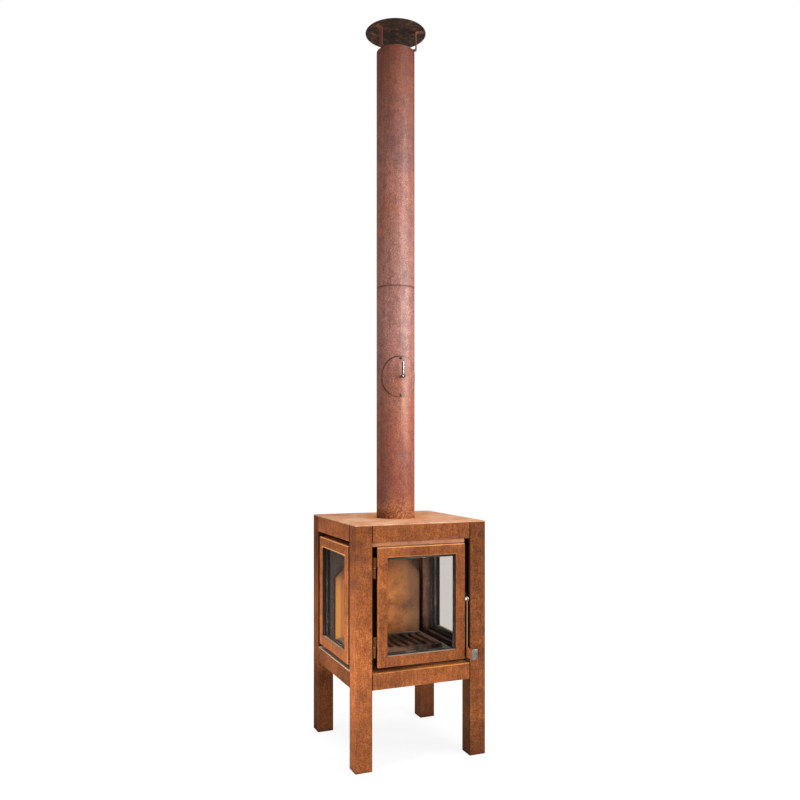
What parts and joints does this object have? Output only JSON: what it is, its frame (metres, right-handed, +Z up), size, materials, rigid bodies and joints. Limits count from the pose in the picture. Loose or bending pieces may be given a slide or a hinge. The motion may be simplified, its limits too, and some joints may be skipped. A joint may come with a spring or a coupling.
{
  "type": "garden stove chiminea",
  "caption": "Square garden fire stove on tube legs, with a hinged glazed door, glazed sides, a latch lever, and a tall round flue with a damper and a rain cap.",
  "frame": {"origin": "on the floor, under the middle of the bounding box", "axes": "+Z up, along the flue; the glazed door faces -Y; +X is to the right seen from the front"},
  "size_m": [0.52, 0.5612, 2.793],
  "materials": {
    "weathering_steel": "matte",
    "flue_steel": "matte",
    "sooted_steel": "matte",
    "stainless_steel": "satin",
    "brass": "satin",
    "stove_glass": "gloss",
    "rope_seal": "matte",
    "refractory": "matte",
    "cast_iron": "matte"
  },
  "bodies": {
    "stove": {"post_front_left": "weathering_steel", "post_front_right": "weathering_steel", "post_rear_left": "weathering_steel", "post_rear_right": "weathering_steel", "foot_plate_front_left": "weathering_steel", "foot_plate_front_right": "weathering_steel", "foot_plate_rear_left": "weathering_steel", "foot_plate_rear_right": "weathering_steel", "bottom_rail_front": "weathering_steel", "bottom_rail_rear": "weathering_steel", "bottom_rail_left": "weathering_steel", "bottom_rail_right": "weathering_steel", "top_rail_front": "weathering_steel", "top_rail_rear": "weathering_steel", "top_rail_left": "weathering_steel", "top_rail_right": "weathering_steel", "top_plate": "weathering_steel", "window_frame_left": "weathering_steel", "window_frame_right": "weathering_steel", "rear_panel": "weathering_steel", "hinge_lower_post_half": "weathering_steel", "hinge_upper_post_half": "weathering_steel", "flue_pipe_lower": "flue_steel", "flue_pipe_upper": "flue_steel", "damper_cover": "flue_steel", "cap_leg_1": "flue_steel", "cap_leg_2": "flue_steel", "cap_leg_3": "flue_steel", "firebox_front": "sooted_steel", "firebox_left": "sooted_steel", "firebox_right": "sooted_steel", "firebox_rear": "sooted_steel", "firebox_floor": "sooted_steel", "firebox_roof": "sooted_steel", "window_retainer_left": "sooted_steel", "window_retainer_right": "sooted_steel", "flue_socket": "sooted_steel", "cap_disc": "sooted_steel", "latch_catch_pin": "stainless_steel", "damper_cover_bolt_lower": "stainless_steel", "damper_cover_bolt_upper": "stainless_steel", "hinge_lower_washer": "brass", "hinge_upper_washer": "brass", "window_glass_left": "stove_glass", "window_glass_right": "stove_glass", "hearth_slab": "refractory", "fireback": "cast_iron", "fire_grate": "cast_iron"},
    "door": {"door_frame": "weathering_steel", "door_glass": "stove_glass", "door_retainer": "sooted_steel", "door_seal": "rope_seal", "hinge_lower_door_half": "weathering_steel", "hinge_upper_door_half": "weathering_steel", "latch_pivot_stud": "stainless_steel", "latch_dome_nut": "stainless_steel"},
    "latch": {"latch_lever": "weathering_steel", "latch_finger_tab": "stainless_steel"},
    "damper": {"damper_shaft": "stainless_steel", "damper_disc": "sooted_steel"}
  },
  "joints": [
    {"name": "door_swing", "type": "hinge", "parent": "stove", "child": "door", "pos_m": [-0.186, -0.23185, 0.582], "axis": [0, 0, -1], "range_deg": [0, 100]},
    {"name": "lever_swing", "type": "hinge", "parent": "door", "child": "latch", "pos_m": [0.1835, -0.23335, 0.588], "axis": [-1, 0, 0], "range_deg": [0, 35]},
    {"name": "damper_turn", "type": "hinge", "parent": "stove", "child": "damper", "pos_m": [0, 0.02065, 1.43], "axis": [-0.1132, -0.9936, 0], "range_deg": [0, 90]}
  ]
}
